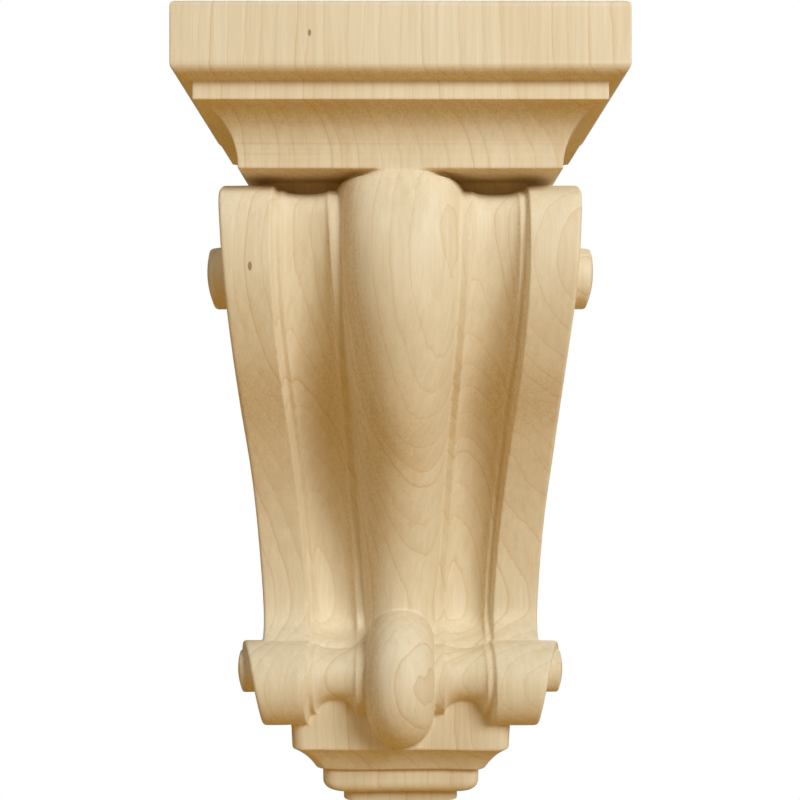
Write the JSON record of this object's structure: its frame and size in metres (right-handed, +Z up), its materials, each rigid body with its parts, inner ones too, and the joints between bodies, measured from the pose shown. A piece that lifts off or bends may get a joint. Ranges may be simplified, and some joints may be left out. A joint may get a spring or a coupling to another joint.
{
  "type": "corbel",
  "caption": "Carved wood corbel with a moulded cap, a tapering S-shaped shaft with flutes and a raised centre lobe, side scrolls, a foot roll with a hanging drop and a stepped pendant.",
  "frame": {"origin": "middle of the flat back face, half way up and half way across", "axes": "+Z up, the front faces -Y, +Y points into the wall, +X to the right as seen from the front"},
  "size_m": [0.1334, 0.0945, 0.254],
  "materials": {
    "maple": "raw sanded maple, pale, satin"
  },
  "bodies": {
    "root": {"corbel": "maple"}
  },
  "joints": []
}
